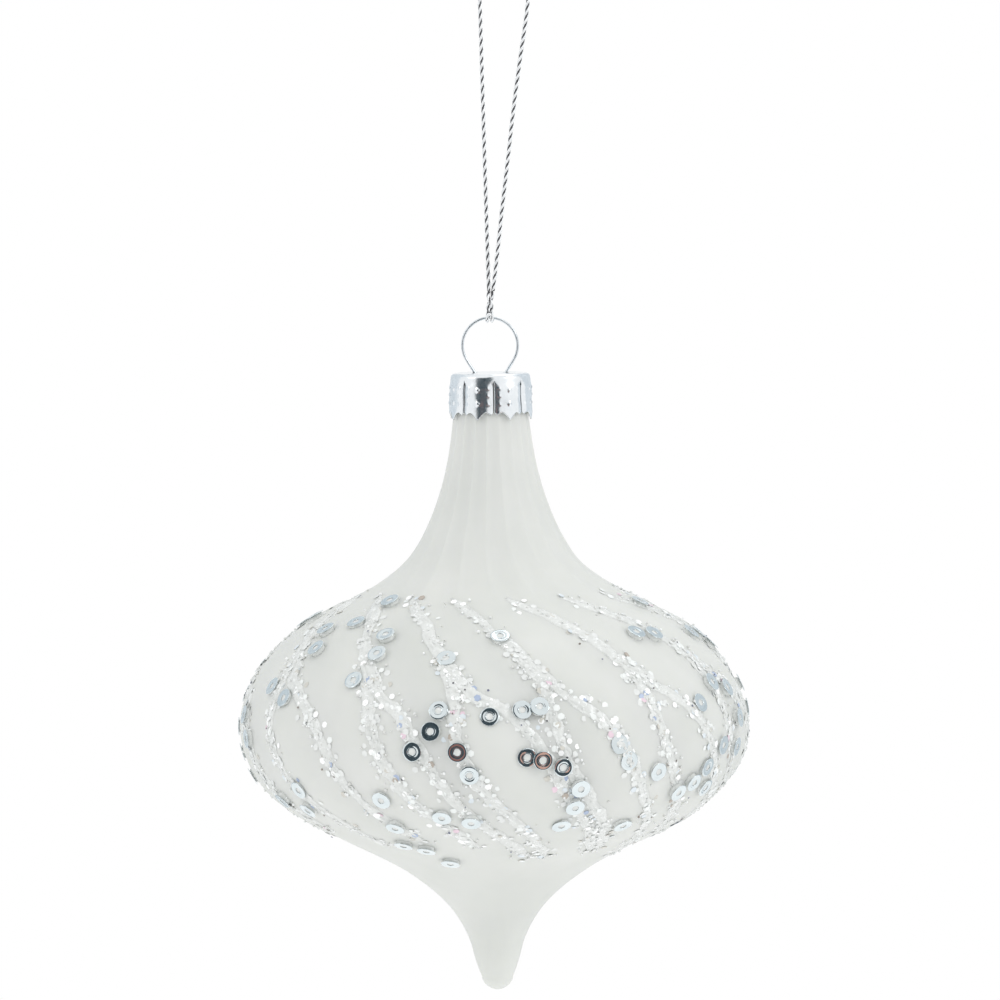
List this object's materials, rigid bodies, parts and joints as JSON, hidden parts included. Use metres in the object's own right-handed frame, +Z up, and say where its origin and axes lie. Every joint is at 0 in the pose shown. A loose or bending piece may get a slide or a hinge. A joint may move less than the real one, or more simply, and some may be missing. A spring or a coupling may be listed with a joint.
{
  "type": "hanging ornament",
  "caption": "Hollow frosted glass ornament with a bulb and drawn-out icicle tip, glitter and sequin swirls, crown cap, wire ring and thread loop.",
  "frame": {"origin": "inside top of the thread loop, where a hook carries the ornament", "axes": "+Z up along the ornament's axis, -Y the front, +X to the right seen from the front"},
  "size_m": [0.0957, 0.0953, 0.2023],
  "materials": {
    "metallic_thread": "twisted metallised thread, bright silver",
    "spring_wire": "drawn steel spring wire, plated",
    "cap_metal": "stamped thin sheet, mirror bright",
    "frosted_glass": "blown glass, satin white",
    "glitter": "clear glue with coarse clear and iridescent flakes",
    "sequin": "flat ring sequins, silver mirror film"
  },
  "bodies": {
    "thread": {"hang_cord": "metallic_thread", "cord_knot": "metallic_thread"},
    "lead": {"cord_lead": "metallic_thread"},
    "hitch": {"cord_hitch": "metallic_thread"},
    "hanger": {"hanger_wire": "spring_wire"},
    "cap": {"crown_cap": "cap_metal"},
    "ornament": {"glass_body": "frosted_glass", "glitter_band_01": "glitter", "glitter_band_02": "glitter", "glitter_band_03": "glitter", "glitter_band_04": "glitter", "glitter_band_05": "glitter", "glitter_band_06": "glitter", "glitter_band_07": "glitter", "glitter_band_08": "glitter", "glitter_band_09": "glitter", "glitter_band_10": "glitter", "glitter_band_11": "glitter", "glitter_band_12": "glitter", "glitter_band_13": "glitter", "sequins_01": "sequin", "sequins_02": "sequin", "sequins_03": "sequin", "sequins_04": "sequin", "sequins_05": "sequin", "sequins_06": "sequin", "sequins_07": "sequin", "sequins_08": "sequin", "sequins_09": "sequin", "sequins_10": "sequin", "sequins_11": "sequin", "sequins_12": "sequin", "sequins_13": "sequin"}
  },
  "joints": [
    {"name": "thread_twist", "type": "hinge", "parent": "thread", "child": "lead", "pos_m": [0, 0, -0.0714], "axis": [0, 0, 1], "range_deg": [-180, 180]},
    {"name": "side_swing", "type": "hinge", "parent": "lead", "child": "hitch", "pos_m": [0, 0, -0.0748], "axis": [0, 1, 0], "range_deg": [-30, 30]},
    {"name": "ring_swing", "type": "hinge", "parent": "hitch", "child": "hanger", "pos_m": [0, 0, -0.07625], "axis": [1, 0, 0], "range_deg": [-60, 60]},
    {"name": "wire_rock", "type": "hinge", "parent": "hanger", "child": "cap", "pos_m": [0, 0, -0.08655], "axis": [1, 0, 0], "range_deg": [-8, 8]},
    {"name": "glass_pull", "type": "slide", "parent": "cap", "child": "ornament", "axis": [0, 0, -1], "range_m": [0, 0.04]}
  ]
}
